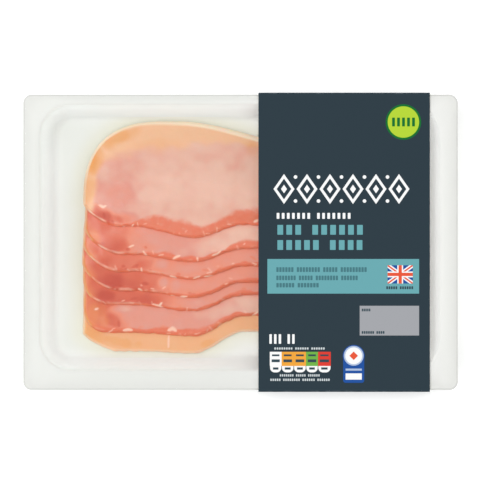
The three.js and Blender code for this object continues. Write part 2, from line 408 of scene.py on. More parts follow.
tray_plastic, tree, shader = material("tray_plastic", Roughness=0.5, Specular_IOR_Level=0.25,
                                      Subsurface_Radius=(1, 1, 0.95))
place = node(tree, "TexCoord").outputs["Object"]
shares = {title: stored(tree, title) for title, _ in TRAY_TINTS}
body = colour(213, 214, 209)
for title, tint in TRAY_TINTS:
    body = mix(tree, shares[title], body, colour(*tint))
tree.links.new(body, shader.inputs["Base Color"])
wall = maths(tree, "MULTIPLY", shares["depth"], maths(tree, "SUBTRACT", 1.0, shares["floor"]))
tree.links.new(maths(tree, "MULTIPLY_ADD", wall, 0.3, 0.7), shader.inputs["Subsurface Weight"])
tree.links.new(maths(tree, "MULTIPLY_ADD", wall, 0.014, 0.006), shader.inputs["Subsurface Scale"])
bump(tree, shader, noise(tree, place, 60, 3), 0.25, 0.35)
tray.data.materials.append(tray_plastic)
print("tray finish:", len(tree.nodes), "nodes")

# %% [markdown]
# ## Rashers
# Back bacon is cut across the loin: a wide round eye of lean at one end, and a streaky tail at the
# other. The plan of every rasher is the same family of curves. The near edge has a wave where the
# eye turns into the tail, the far edge follows the fat, and both close in a rounded corner at the
# ends. The top rasher lies furthest back, and each one below it steps towards the front.

# %% Rasher plans
RASHER_LENGTH = 189
EYE_WIDTH = 67
TAIL_FALL = 15.5  # how far the far edge comes down from eye to tail
TAIL_START = -36
TAIL_RUN = 84
WAVE_START = -27  # where the near edge climbs from eye to tail
WAVE_RUN = 29
LEAN_RUN = 34  # and where it climbs towards the left end
SHOULDER = 48  # how long each end's corners are, and how full
SHOULDER_POWER = 2.6
HEEL = 20
RIGHT_TIP = 30  # the tail's outermost point, above the near edge
TAIL_END = 24
TAIL_END_POWER = 2.2
DRAPE = 22  # how far out a rasher starts to rise over the one below
OUTLINE_POINTS = 56
FAN_TOP = 2.7  # the top rasher's near edge at its lowest point
FAN = [  # from the top: step, left end, climb at the wave and towards the left, tip height, heel
    (0, -90.6, 7.4, 6.3, 20, 1.5),
    (14.2, -89.8, 7.8, 4.4, 20, 1.6),
    (10.1, -90.6, 7.8, 4.6, 20, 1.6),
    (10.3, -91.2, 8.7, 3.9, 20, 1.6),
    (7.7, -90.8, 9, 3.5, 20, 2.5),
    (14.5, -90.6, 11.7, 1.9, 20, 3),
    (9.9, -90.9, 12.5, 1.2, 11.5, 1.35),
]


def opening(distance, reach, power):
    """How far a rounded corner has opened: 0 at the tip, and 1 past reach, along the curve on which
    the power of the share left and the power of the opening add up to 1."""
    left = 1 - np.clip(distance / reach, 0, 1)
    return (1 - left ** power) ** (1 / power)


def distance_to(line, x, y):
    """The distance from each point to the nearest stretch of a line of points."""
    side = np.diff(line, axis=0)
    away = np.stack([x, y], -1)[..., None, :] - line[:-1]
    share = np.clip((away * side).sum(-1) / (side ** 2).sum(-1), 0, 1)
    return np.linalg.norm(away - share[..., None] * side, axis=-1).min(-1)


class Plan:
    """A rasher seen from above: its ends, its near and far edges, and the loop round it."""

    def __init__(self, low, left, wave, lean, tip, heel):
        self.low, self.left, self.right = low, left, left + RASHER_LENGTH
        self.wave, self.lean, self.tip, self.heel = wave, lean, tip, heel
        turn = np.linspace(0, np.pi, OUTLINE_POINTS)
        x = (self.left + self.right - RASHER_LENGTH * np.cos(turn)) / 2
        self.rind = np.stack([x, self.far(x)], -1)
        self.front = np.stack([x, self.near(x)], -1)
        self.loop = np.concatenate([self.front, self.rind[-2::-1]])

    def close(self, x, y, reach, power):
        """Pulls an edge in to the tips at both ends."""
        tip, tail_tip = self.low + self.tip, self.low + RIGHT_TIP
        y = tip + (y - tip) * opening(x - self.left, reach, power)
        return tail_tip + (y - tail_tip) * opening(self.right - x, TAIL_END, TAIL_END_POWER)

    def near(self, x):
        """The near edge: level under the eye, with an eased climb at the wave and to the left."""
        climb = self.wave * smooth((x - WAVE_START) / WAVE_RUN)
        lean = self.lean * smooth((WAVE_START - x) / LEAN_RUN)
        return self.close(x, self.low + climb + lean, HEEL, self.heel)

    def far(self, x):
        """The far edge: an eye's width above, falling in an eased step towards the tail."""
        line = self.low + EYE_WIDTH - TAIL_FALL * smooth((x - TAIL_START) / TAIL_RUN)
        return self.close(x, line, SHOULDER, SHOULDER_POWER)

    def distance(self, x, y):
        """The distance from each point to the cut edge."""
        return distance_to(self.loop, x, y)

    def lift(self, x, y):
        """How much this rasher lifts what lies over a point: 1 above it, easing to 0 outside."""
        inside = (x > self.left) & (x < self.right) & (y > self.near(x)) & (y < self.far(x))
        return np.where(inside, 1, smooth(1 - self.distance(x, y) / DRAPE))


lows = FAN_TOP - np.cumsum([shape[0] for shape in FAN])
plans = [Plan(low, *shape[1:]) for low, shape in zip(lows, FAN)]
print("near edges at", np.round(lows, 1).tolist(), "mm")

# %% [markdown]
# Each rasher is a slab that lies on the tray floor and on every rasher below it. At each point its
# height is the sum of what they lift, which makes it drape over their edges. The slab is a stack of
# closed sections along its length. They stand close together where the meat shows and far apart
# under the sleeve, and the rows of points crowd at the cut edge, which is rounded.

# %% Rasher meshes
RASHER_THICKNESS = 2.44
RASHER_PITCH = 2.5  # from one rasher's middle plane to the next
BOTTOM_MIDDLE = 2.95  # the lowest rasher's middle plane
EDGE_ROUND = 1.9  # the top falls to the cut edge over this width
EDGE_THICKNESS = 0.2
NEAR_BLUNT = 0.5  # how much thicker the near edge is, and the rind's
FAR_BLUNT = 1.2
SHOWN_TO = 14  # the sleeve covers what lies further right
END_RUN = 9  # the sections crowd over this length at each end
FINE = 0.52  # how far apart the points are where the meat shows, and where it doesn't
COARSE_ALONG = 5
COARSE_ACROSS = 2.6
EDGE_RIPPLES = ((0.2, 16, 40), (0.22, 5, 50))  # the near edge's unevenness: size, length, first seed
EDGE_STEPS = EDGE_ROUND * (1 - np.cos(np.linspace(0, np.pi / 2, 6)))


def spaced(start, end, step):
    """Even places from start to end, about this far apart, without the first."""
    return np.linspace(start, end, max(int(round((end - start) / step)), 1) + 1)[1:]


def rasher_columns(plan):
    """Where the sections stand, from left to right: crowded at the tips and fine where they show."""
    tip = END_RUN * np.linspace(0, 1, 26)[1:] ** 2
    end = END_RUN * np.linspace(0, 1, 12)[1:] ** 2
    return np.concatenate([plan.left + tip, spaced(plan.left + END_RUN, SHOWN_TO, FINE),
                           spaced(SHOWN_TO, plan.right - END_RUN, COARSE_ALONG),
                           plan.right - end[-2::-1]])


def rasher_rows(shown):
    """The rows' shares of the way from the near edge to the far one, fine over the shown width."""
    near = np.concatenate([EDGE_STEPS, spaced(EDGE_STEPS[-1], shown, FINE)])
    far = EYE_WIDTH - EDGE_STEPS[::-1]
    return np.concatenate([near, spaced(shown, far[0], COARSE_ACROSS)[:-1], far]) / EYE_WIDTH


def rasher_mesh(number, plan, below, shown):
    """The slab: its middle plane from the sum of lifts, and its top falling to its cut edge along a
    parabola, 1 - (1 - distance/round)^2. The edge is thin where it lies on other rashers, and
    blunt along the rind and on the tray. A gentle ripple keeps the slab from lying dead flat.
    Returns the piece and the places of its points."""
    columns, rows = rasher_columns(plan), rasher_rows(shown)
    under = np.concatenate([[1], rows[-2:0:-4], [0]])
    across = np.concatenate([rows, under])
    x, share = np.meshgrid(columns, across, indexing="ij")
    near, far = plan.near(x), plan.far(x)
    y = near + (far - near) * share
    edge = np.clip(plan.distance(x, y) / EDGE_ROUND, 0, 1)
    wobble = sum(size * ripple(x, y * 0.3, length, seed + number) for size, length, seed in EDGE_RIPPLES)
    wobble *= 1 - smooth(share * 8)
    wobble *= smooth((x - plan.left) / 14)
    middle = BOTTOM_MIDDLE + RASHER_PITCH * sum([p.lift(x, y) for p in below], np.zeros_like(x))
    relief = 0.05 * ripple(x, y, 9, number)
    near_blunt = NEAR_BLUNT * (1 + 0.8 * ripple(x, y * 0.2, 8, 60 + number)) if below else FAR_BLUNT
    blunt = near_blunt * smooth((0.6 - share) / 0.3) + FAR_BLUNT * smooth((share - 0.6) / 0.3)
    blunt *= smooth((x - plan.left - 1) / 9)
    cut_height = EDGE_THICKNESS + blunt
    full = cut_height + (RASHER_THICKNESS - cut_height) * (1 - (1 - edge) ** 2)
    full -= abs(relief) * edge
    top = np.arange(len(across)) < len(rows)
    z = middle - RASHER_THICKNESS / 2 + np.where(top, full, 0)
    first = [plan.left, plan.low + plan.tip, z[0].mean()]
    last = [plan.right, plan.low + RIGHT_TIP, z[-1].mean()]
    rings = np.stack([x, y + wobble, z], -1)
    made = closed_body(f"rasher_{number}_meat", rings, first, last)
    return made, np.concatenate([rings.reshape(-1, 3), [first, last]])


TOP_SHOWN = 64  # how much of the top rasher's width is fine, and of the others'
STRIP_SHOWN = 21

rashers, places = [], []
for number, plan in enumerate(plans, 1):
    made, points = rasher_mesh(number, plan, plans[number:], TOP_SHOWN if number == 1 else STRIP_SHOWN)
    rashers.append(made)
    places.append(points)
print("rashers:", [len(made.data.polygons) for made in rashers], "faces")

# %% [markdown]
# ## What colours a rasher
# Under its cream rind lies a layer of fat, thickest over the eye. The lean goes from greyish pink in
# the middle of the eye to deep red where the muscle is dense, at the left of the fan, and to orange
# where it dries along the cut; the same orange runs onto the rasher below as painted shade under
# each edge. Thin seams of fat cross it, and slicing leaves scraps of fat and dark bits along the cut,
# while a few of the fine strokes are painted highlights, and the pale edge of the lower rashers is
# partly painted light through the thin edge. All of this is worked out here as shares from 0 to 1 at
# the points of the mesh: even fields along the edges, soft patches, fine strokes, and flecks at
# seeded random places.

# %% Fields, patches and strokes
def patch(points, x, y, wide, high, turn):
    """A soft oval at a place given in the photograph's pixels: 1 in the middle, 0 past its edge.
    The distance is stretched by the oval's half sizes, turned, and made uneven by a ripple."""
    centre = np.array(from_photo(x, y))
    away = points[:, :2] - centre
    turn = np.radians(turn)
    along = (away[:, 0] * np.cos(turn) + away[:, 1] * np.sin(turn)) / (wide * PIXEL)
    across = (away[:, 1] * np.cos(turn) - away[:, 0] * np.sin(turn)) / (high * PIXEL)
    uneven = 0.16 * ripple(points[:, 0], points[:, 1], 8, int(x * 7 + y))
    return smooth(1.3 - 1.3 * (np.hypot(along, across) + uneven) / 1.15)


def stroke(points, line, width):
    """A soft line through places given in pixels: 1 on it, 0 at its half width, which narrows
    towards both ends."""
    line = np.stack(from_photo(*np.array(line, dtype=float).T), -1)
    side = np.diff(line, axis=0)
    away = points[:, None, :2] - line[:-1]
    share = np.clip((away * side).sum(-1) / (side ** 2).sum(-1), 0, 1)
    distance = np.linalg.norm(away - share[..., None] * side, axis=-1)
    length = np.concatenate([[0], np.cumsum(np.linalg.norm(side, axis=1))])
    nearest = distance.argmin(1)
    rows = np.arange(len(points))
    run = (length[nearest] + share[rows, nearest] * np.diff(length)[nearest]) / length[-1]
    reach = width * PIXEL * (0.45 + 0.55 * np.sqrt(np.clip(4 * run * (1 - run), 0, 1)))
    return smooth(1.35 - distance[rows, nearest] / reach)


def most(shares):
    """The largest of several shares at each point."""
    return np.max(shares, axis=0)


SHOWN_ALONG = (98, 256)  # the fan's shown length, in the photograph's pixels
FLECK_KINDS = (  # scraps of fat and dark bits: count, deepest place, half widths, greatest strength
    (11, 3.5, (0.5, 0.9), 0.75),
    (12, 4.5, (1.1, 2.2), 0.5),
)


def scattered(plan, count, seed, deepest):
    """Seeded random places on a rasher's shown strip, as pixels of the photograph: even along the
    pack, and so many millimetres in from the near edge, closer to it more often."""
    rng = np.random.default_rng(seed)
    along = rng.uniform(*SHOWN_ALONG, count)
    x = (along - PACK_MIDDLE[0]) * PIXEL
    y = plan.near(x) + 0.8 + deepest * rng.uniform(0, 1, count) ** 2
    return np.column_stack([along, PACK_MIDDLE[1] - y / PIXEL]), rng


def flecks(points, plan, seed):
    """Scraps of fat and dark bits along the cut: short strokes at scattered places, most of them
    lying nearly along the edge, each with its own length, width and strength."""
    shares = []
    for count, deepest, widths, strongest in FLECK_KINDS:
        spots, rng = scattered(plan, count, seed, deepest)
        turn = rng.normal(0, 0.35, count) + (rng.uniform(0, 1, count) < 0.25) * 1.2
        reach = rng.uniform(1, 3.2, (count, 1)) * np.column_stack([np.cos(turn), np.sin(turn)])
        shares.append(most([strength * stroke(points, [spot - step, spot + step], width)
                            for spot, step, width, strength in
                            zip(spots, reach, rng.uniform(*widths, count),
                                rng.uniform(0.35, 1, count) * strongest)]))
        seed += 1000
    return shares


def level(points, places, values):
    """A value that runs from one place along the pack to the next, in the photograph's pixels. It
    is the mean of five readings near the point, which rounds the corners."""
    along = points[:, 0] / PIXEL + PACK_MIDDLE[0]
    return np.mean([np.interp(along + step, places, values) for step in (-6, -3, 0, 3, 6)], axis=0)


# %% [markdown]
# The numbers below say where each rasher's patches and strokes lie, read off the photograph.
# Redness is the main field: 0 is the greyish pink of the pale eye, 1 the deepest red. Band is the
# orange-red strip along the cut near edge, and glow is the golden stain in the fat.

# %% Where the patches and strokes lie
RED_ALONG = [  # redness at these pixels along the pack, from the top rasher down
    ([86, 100, 125, 150, 200, 250], [0.26, 0.29, 0.25, 0.13, 0.1, 0.14]),
    ([86, 100, 120, 135, 155, 185, 250], [0.8, 0.7, 0.68, 0.42, 0.29, 0.31, 0.06]),
    ([86, 100, 130, 150, 160, 175, 250], [0.66, 0.72, 0.68, 0.54, 0.48, 0.46, 0.4]),
    ([86, 100, 130, 155, 165, 180, 250], [0.76, 0.86, 0.8, 0.68, 0.54, 0.46, 0.42]),
    ([86, 100, 130, 155, 168, 185, 250], [0.72, 0.84, 0.82, 0.78, 0.56, 0.37, 0.38]),
    ([86, 100, 108, 125, 160, 200, 250], [0.74, 0.7, 0.52, 0.34, 0.32, 0.32, 0.12]),
    ([86, 250], [0.3, 0.3]),
]
DEEPER = [  # patches of deeper red: x, y, half width, half height, turn, strength
    [(100, 218, 24, 13, -18, 0.62), (122, 194, 20, 15, 20, 0.08), (126, 220, 14, 9, 0, 0.3),
     (152, 188, 15, 12, 0, 0.05), (166, 207, 22, 10, 0, 0.06), (206, 158, 14, 7, 0, 0.07),
     (240, 165, 12, 14, 0, 0.1)],
    [(116, 246, 18, 10, 0, 0.14), (150, 247, 12, 6, 0, 0.1)],
    [(105, 262, 8, 6, 0, 0.12), (146, 264, 12, 6, 0, 0.1)],
    [(112, 281, 14, 12, 0, 0.14), (135, 284, 18, 8, 0, 0.06)],
    [(104, 295, 12, 9, 0, 0.18), (150, 300, 16, 7, 0, 0.1)],
    [(115, 321, 15, 9, -30, 0.3), (103, 307, 14, 10, 0, 0.22)],
    [],
]
PALER = [  # patches of paler lean, written the same way
    [(160, 190, 28, 30, 0, 0.1), (215, 185, 30, 26, 0, 0.12), (252, 182, 18, 34, 0, 0.16),
     (105, 172, 16, 10, 0, 0.1)],
    [(215, 245, 34, 10, 12, 0.09), (240, 230, 18, 7, 0, 0.1)],
    [(190, 268, 30, 6, 0, 0.08), (161, 264, 8, 7, 0, 0.2)],
    [(163, 283, 7, 7, 0, 0.28), (175, 285, 7, 9, 0, 0.14), (200, 286, 26, 7, 0, 0.06)],
    [(200, 303, 20, 4, 0, 0.06)],
    [(210, 312, 30, 9, 8, 0.08), (120, 309, 12, 5, 0, 0.16), (243, 300, 22, 7, -20, 0.1)],
    [],
]
BAND = [  # depth of the orange-red strip in millimetres, at these pixels along the pack
    ([86, 120, 136, 146, 160, 190, 205, 216, 226, 250], [0.4, 0.4, 3, 6.5, 9.4, 9.4, 6, 5.9, 8, 9.5]),
    ([86, 130, 152, 165, 185, 205, 225, 238, 250], [0.3, 0.6, 2.6, 4.6, 3.4, 2.6, 2.6, 5, 5.6]),
    ([86, 150, 165, 200, 225, 250], [0.5, 0.8, 1.6, 1.6, 2.2, 3]),
    ([86, 150, 170, 200, 225, 250], [0.5, 0.8, 1.4, 1.8, 2.4, 3]),
    ([86, 150, 175, 210, 235, 250], [0.5, 0.8, 1.4, 2, 3, 3.4]),
    ([86, 105, 120, 150, 165, 200, 225, 250], [3, 4, 3.2, 2.8, 4.6, 4.4, 3.4, 2.4]),
    ([86, 250], [0, 0]),
]
GLOW = [  # golden stains
    [(93, 161, 11, 19, -12, 0.85), (118, 138, 28, 9, 24, 0.6), (88, 188, 10, 22, 0, 0.4),
     (158, 146, 30, 9, 0, 0.2), (253, 149, 12, 8, -20, 0.5)],
    [(93, 236, 9, 9, 0, 0.9), (87, 248, 7, 18, 0, 0.8)],
    [(89, 262, 8, 13, 0, 0.8)],
    [(88, 280, 8, 12, 0, 0.75)],
    [(87, 294, 8, 10, 0, 0.75)],
    [(93, 314, 16, 16, -20, 1.0), (221, 326, 9, 5, 12, 0.9), (101, 321, 12, 7, -20, 0.7)],
    [(92, 333, 20, 16, -25, 0.66), (120, 342, 30, 8, -10, 0.55), (208, 343, 18, 6, 18, 0.55)],
]
MEMBRANES = [  # pale skin along the cut near edge: from, to and strength, in pixels along the pack
    [(86, 108, 1.0), (118, 124, 0.5)],
    [(97, 127, 0.9)],
    [(88, 117, 0.9), (124, 137, 0.4), (146, 163, 0.4)],
    [(90, 113, 0.9), (117, 131, 0.7), (150, 162, 0.6)],
    [(88, 104, 0.6), (105, 141, 0.45)],
    [(92, 106, 0.35)],
    [],
]
# Some of these strokes are painted highlights: the one near (99-106, 205) on the top rasher and the two
# chevrons near (128, 330) and (172, 330) on the sixth. The rest are fat.
SEAMS_AND_HIGHLIGHTS = [  # fine strokes of fat: their pixels, and their half width
    [([(123, 226.4), (131, 227.4), (133.6, 224)], 0.9),
     ([(99, 205), (103, 207), (106, 205.6)], 1.5), ([(254, 222), (258, 220)], 1.6)],
    [([(129, 247), (134, 245)], 1.0),
     ([(143, 251), (147, 256.5)], 1.1), ([(173, 259), (176, 257), (180, 255.6)], 1.5),
     ([(197, 257), (198, 261)], 0.9), ([(212, 255.5), (217, 254), (221, 251)], 1.0)],
    [([(141, 268), (142, 274)], 1.1), ([(170, 276), (176, 277.5)], 1.2),
     ([(193, 278.5), (200, 276.5)], 0.8), ([(204, 276.6), (214, 276)], 0.8)],
    [([(138, 288.5), (142, 291)], 1.1),
     ([(171, 295.5), (176, 297.5)], 1.1), ([(180, 297), (187, 296.5)], 1.1)],
    [([(152, 304), (159, 306), (164, 308.5)], 1.0), ([(159, 306), (162, 302.5)], 1.2)],
    [([(123, 330.6), (128, 329.8), (132, 330.4)], 1.8), ([(168, 330.6), (172.5, 328.6), (176, 331)], 2.2),
     ([(218, 327), (223, 325)], 1.2), ([(94.5, 309.6), (98, 308.6)], 1.3), ([(252, 316), (258, 312)], 1.0)],
    [([(168.6, 336), (168.2, 348)], 1.2), ([(97, 328), (104, 330)], 1.0)],
]
RIND_DEPTH = ([86, 130, 170, 200, 258], [0.7, 0.8, 1.2, 1.9, 2.2])
FAT_DEPTH = ([80, 100, 125, 178, 200, 230, 256, 420], [7, 7.5, 17, 17.5, 13.5, 8.5, 7, 7])

print("patches and strokes:", sum(map(len, DEEPER + PALER + GLOW + MEMBRANES + SEAMS_AND_HIGHLIGHTS)))

# %% [markdown]
# Each field is a formula of where a point lies on its rasher: how far in from the near edge, from
# the rind and from the left end, and how far along the pack. The lowest rasher shows only the fat
# along its edge, so it is fat throughout. The top one shows the whole layer of fat over its eye.

# %% Fields on the rashers
def rasher_fields(number, plan, points):
    """The shares at a rasher's points. Redness is its level along the pack, raised and lowered by
    the patches. Band, fat, rind and cut are full at their own edge and ease to 0 away from it. Cut also
    holds painted shade on the rasher's top just under the near edge of the rasher above, and the rind
    line of the lower rashers is partly painted light shining through their thin edges. Glow is the
    strongest golden stain, and the pale strokes are the strongest stroke, skin, scrap of fat or
    painted highlight."""
    x, y = points[:, 0], points[:, 1]
    lowest = number == len(plans) - 1
    within = np.clip(x, plan.left, plan.right)
    along = x / PIXEL + PACK_MIDDLE[0]
    from_near = y - plan.near(within)
    from_rind = distance_to(plan.rind, x, y)
    at_side = distance_to(plan.front[plan.front[:, 0] < plan.left + 5], x, y)
    inward = plan.distance(x, y)
    uneven = ripple(x, y, 11, 70 + number)

    red = level(points, *RED_ALONG[number]) + 0.03 * uneven
    for patches, sign in ((DEEPER[number], 1), (PALER[number], -1)):
        for *oval, strength in patches:
            red += sign * strength * patch(points, *oval)
    pale_flecks, dark_flecks = (0 * x, 0 * x) if lowest else flecks(points, plan, 300 + number)
    red += dark_flecks * 0.45
    depth = level(points, *BAND[number]) + 0.7 * uneven
    band = 1 - smooth((from_near - depth * 0.55) / np.maximum(depth * 0.75, 0.5))
    band *= smooth(depth / 1.2)

    glow = most([strength * patch(points, *oval) for *oval, strength in GLOW[number]])
    if number == 0:
        layer = level(points, *FAT_DEPTH) * (1 + 0.1 * uneven)
        fat = 1 - smooth((from_rind - 0.5 * layer) / (0.8 * layer))
        rind = 1 - smooth((from_rind - level(points, *RIND_DEPTH)) / 1.2)
        rind *= 1 - 0.5 * smooth((44 - y) / 11)
    elif lowest:
        fat = np.ones_like(x)
        # A pale line round the whole edge, partly rind and partly painted light shining through the thin
        # edge.
        rind = 0.6 * (1 - smooth((inward - 0.5) / 1.2))
        glow = np.maximum(glow, 0.32)
    else:
        from_end = np.minimum(at_side, from_rind)
        fat = 0.7 * (1 - smooth((from_end - 0.4 - 0.4 * uneven) / 2.2))
        # A pale line at the left end and along the rind, partly rind and partly painted light through the
        # thin edge.
        rind = 0.25 * (1 - smooth((from_end - 0.2) / 1.0))
        glow = np.maximum(glow, 0.8 * (1 - smooth((at_side - 0.5) / 6)))

    skin = np.exp(-((from_near - 1.1) / 0.6) ** 2) * (0.75 + 0.5 * ripple(x, y * 0.2, 6, 110 + number))
    skins = [strength * skin * smooth((along - start) / 4) * smooth((end - along) / 4)
             for start, end, strength in MEMBRANES[number]]
    # The pale strokes: seams, skins and scraps of fat, and some painted highlights.
    seams_and_highlights = most([stroke(points, line, width) for line, width in SEAMS_AND_HIGHLIGHTS[number]] + skins + [pale_flecks])
    # Orange where the meat dries along its own cut edge.
    cut = (1 - smooth(inward / 1.3)) * smooth(from_rind / 6)
    # On each lower rasher, a painted shade line under the near edge of the rasher above.
    if number > 0:
        outside = plans[number - 1].near(within) - y
        cut = np.maximum(cut, 0.8 * np.exp(-abs(outside) / 0.9))
    cut *= 0.8 + 0.35 * ripple(x, y * 0.2, 7, 90 + number)
    return {"red": np.clip(red, 0, 1), "band": band, "fat": fat, "rind": rind, "glow": glow,
            "seams_and_highlights": np.clip(seams_and_highlights, 0, 1), "cut": np.clip(cut, 0, 1) * (1 - 0.6 * fat)}


for number, (piece, plan, points) in enumerate(zip(rashers, plans, places)):
    for title, values in rasher_fields(number, plan, points).items():
        give_values(piece, title, values)
print("fields on", len(rashers), "rashers")

# %% [markdown]
# ## Cured meat
# One node group turns the shares into a colour, a roughness and a height, so that every rasher has
# the same meat and only its fields differ. A soft mottle sways the tone, frays the orange-red strip
# and makes some patches wetter than others, and a fine grain runs through all of it. The shader
# itself stays in the materials. A little scattering under the surface gives the soft look of thin
# moist slices.

# %% Cured meat
cured, given, result = group("cured_meat",
                             {"Red": 0.3, "Band": 0.0, "Fat": 0.0, "Rind": 0.0, "Glow": 0.0, "Seams_and_highlights": 0.0,
                              "Cut": 0.0},
                             {"Colour": (0.8, 0.5, 0.4, 1.0), "Roughness": 0.4, "Height": 0.5})
place = node(cured, "TexCoord").outputs["Object"]
mottle = noise(cured, place, 120, 1.5, 0.45)
grain = noise(cured, place, 800, 2)
swing = maths(cured, "MULTIPLY_ADD", mottle, 0.12, -0.06)
fray = maths(cured, "MULTIPLY_ADD", noise(cured, place, 330, 2), 1.3, 0.35)
frayed_band = maths(cured, "MULTIPLY_ADD", given["Band"], fray, swing)
tone = maths(cured, "ADD", given["Red"], swing)
ramp = node(cured, "ValToRGB", tone)
stops = ramp.color_ramp.elements
stops[0].position, stops[0].color = 0.0, colour(239, 193, 173)
stops[1].position, stops[1].color = 1.0, colour(200, 76, 52)
for position, shade in ((0.1, (236, 186, 166)), (0.3, (229, 156, 138)), (0.5, (236, 146, 118)),
                        (0.75, (221, 108, 79))):
    stops.new(position).color = colour(*shade)
lean = mix(cured, rise(cured, frayed_band, 0.05, 1.0, 0, 0.92), ramp.outputs[0], colour(231, 118, 82))
fatty = mix(cured, given["Glow"], colour(244, 192, 152), colour(235, 155, 66))
golden = mix(cured, maths(cured, "MULTIPLY", given["Glow"], 0.55), lean, colour(240, 152, 92))
meat = mix(cured, rise(cured, maths(cured, "ADD", given["Fat"], swing), 0.1, 0.95), golden, fatty)
meat = mix(cured, given["Rind"], meat, colour(255, 230, 202))
# Orange of the dried cut edges, and the painted shade under each rasher's edge.
meat = mix(cured, maths(cured, "MULTIPLY", given["Cut"], 0.62), meat, colour(240, 122, 80))
# Pale seams, skins and scraps of fat, and some painted highlights.
meat = mix(cured, maths(cured, "MULTIPLY", given["Seams_and_highlights"], 0.92), meat, colour(255, 208, 184))
grainy = maths(cured, "MULTIPLY_ADD", grain, 0.04, 0.98)
shade = node(cured, "CombineColor", grainy, grainy, grainy).outputs[0]
cured.links.new(mix(cured, 1.0, meat, shade, "MULTIPLY"), result["Colour"])
cured.links.new(rise(cured, mottle, 0.35, 0.7, 0.3, 0.5), result["Roughness"])
coarse = maths(cured, "MULTIPLY", mottle, 0.7)
cured.links.new(maths(cured, "MULTIPLY_ADD", grain, 0.12, coarse), result["Height"])


def bacon(name):
    """A material that reads the shares from the mesh and passes them through the group."""
    made, tree, shader = material(name, Subsurface_Weight=0.3, Subsurface_Scale=0.002,
                                  Subsurface_Radius=(1.0, 0.35, 0.2), Specular_IOR_Level=0.45)
    read = {title: stored(tree, title.lower())
            for title in ("Red", "Band", "Fat", "Rind", "Glow", "Seams_and_highlights", "Cut")}
    out = use_group(tree, cured, **read)
    tree.links.new(out["Colour"], shader.inputs["Base Color"])
    tree.links.new(out["Roughness"], shader.inputs["Roughness"])
    bump(tree, shader, out["Height"], 0.35, 0.5)
    return made


bacon_lean = bacon("bacon_lean")
bacon_fat = bacon("bacon_fat")
for piece in rashers[:-1]:
    piece.data.materials.append(bacon_lean)
rashers[-1].data.materials.append(bacon_fat)
print("cured meat:", len(cured.nodes), "nodes")

# %% [markdown]
# Now that the meat's plan is known, the tray gets its own fields. They come from how far each point
# lies inside the outer edge and inside the recess's mouth, how far below the flange, how far from
# the sleeve, and how near to the meat.

# %% Fields on the tray
def depth_inside(points, low, high, corner):
    """How far each point lies inside a rounded rectangle: past the corner's centre along either
    axis it is the corner's radius less the distance to that centre."""
    past = abs(points - (low + high) / 2) - (high - low) / 2 + corner
    return corner - np.hypot(*np.maximum(past, 0).T) - np.minimum(past.max(1), 0)


tray_points = np.empty(len(tray.data.vertices) * 3)
tray.data.vertices.foreach_get("co", tray_points)
tray_points = tray_points.reshape(-1, 3) / MM
x, y, z = tray_points.T
below = flange_top - z
to_edge = depth_inside(tray_points[:, :2], tray_low[:2], tray_high[:2], EDGE_CORNER)
from_mouth = depth_inside(tray_points[:, :2], tray_low[:2] + (FLANGE["left"], FLANGE["near"]),
                          tray_high[:2] - (FLANGE["right"], FLANGE["far"]), MOUTH_CORNER)
from_sleeve = np.maximum(np.maximum(sleeve_low[0] - x, x - sleeve_high[0]), 0)
near_meat = np.min([plan.distance(x, y) for plan in plans], 0)
# A yellow-grey tint close round the meat: partly brine, partly the meat's painted shadow on the tray.
brine_and_shade_share = 0.6 * (1 - smooth((near_meat - 1) / 11)) + 0.1 * np.exp(-near_meat / 1.6)
# Painted light at the foot of the wall, where the bend shades it.
foot = 0.75 * np.exp(-((from_mouth - 7.6) / 3.2) ** 2) * smooth((below - 4) / 8)
# rim: a painted grey line of shade along the outermost edge of the flange.
for title, values in {"rim": (1 - smooth((to_edge - 0.6) / 1.0)) * (below < 0.5),
                      # The wall is painted darker and the floor painted lighter than the flange, to even
                      # out the light in the recess.
                      "depth": smooth(below / 1.5),
                      "floor": smooth((tray_middle[2] + 5 - z) / 5),
                      # foot: painted light at the foot of the wall, weaker along the far side.
                      "foot": foot * (1 - 0.7 * smooth((y - 40) / 30)),
                      # Painted light on the plastic beside the sleeve, where the sleeve shades it.
                      "beside": (0.75 + 0.25 * smooth(below / 3)) * np.exp(-from_sleeve / 9),
                      # Painted light on the end of the recess past the sleeve, where the sleeve shades the
                      # wall.
                      "thin": smooth((x - 98) / 12) * smooth((below - 1) / 2),
                      # Partly brine, partly the meat's painted shadow.
                      "brine_and_shade": brine_and_shade_share * (z < 4)}.items():
    give_values(tray, title, values)
print("tray fields on", len(tray_points), "points")

# %% [markdown]
# ## Lid film
# The lid is a clear film of two tenths of a millimetre, pulled tight and welded to the flange. It
# is a flat closed sheet that sags and ripples a little where nothing holds it up. Light goes
# straight through it, apart from what it mirrors: little when seen straight on, and more at a
# glancing angle. A glass material would bend the light too, and needs many more samples, so a clear
# and a glossy shader are mixed by that share instead. It is left out on the inner faces.

# %% Lid film
FILM_SAG = 0.12
FILM_CORNER = 4
FILM_HELD = 12  # the flange holds it flat over this width, from the tray's edge
SAG_RUN = 20
FILM_RINGS = 43

film_low, film_high = cad_box("film")
rim_ring = rounded_rectangle(film_low[0], film_high[0], film_low[1], film_high[1], FILM_CORNER,
                             film_high[2])
film_top = np.array(shrunk(rim_ring, [1, 0.9985, *np.linspace(0.997, 0.03, FILM_RINGS)]))
x, y = film_top[..., 0], film_top[..., 1]
loose = np.minimum(tray_high[0] - FILM_HELD - abs(x), tray_high[1] - FILM_HELD - abs(y))
sag = FILM_SAG * smooth(loose / SAG_RUN) * (0.5 + 0.5 * ripple(x, y, 34, 5)).clip(0, 1)
film_top[..., 2] -= sag
film_under = film_top - (0, 0, film_high[2] - film_low[2])
film_rings = np.concatenate([film_under[::-1], film_top])
film = closed_body("lid_sheet", film_rings, film_rings[0].mean(0), film_rings[-1].mean(0))

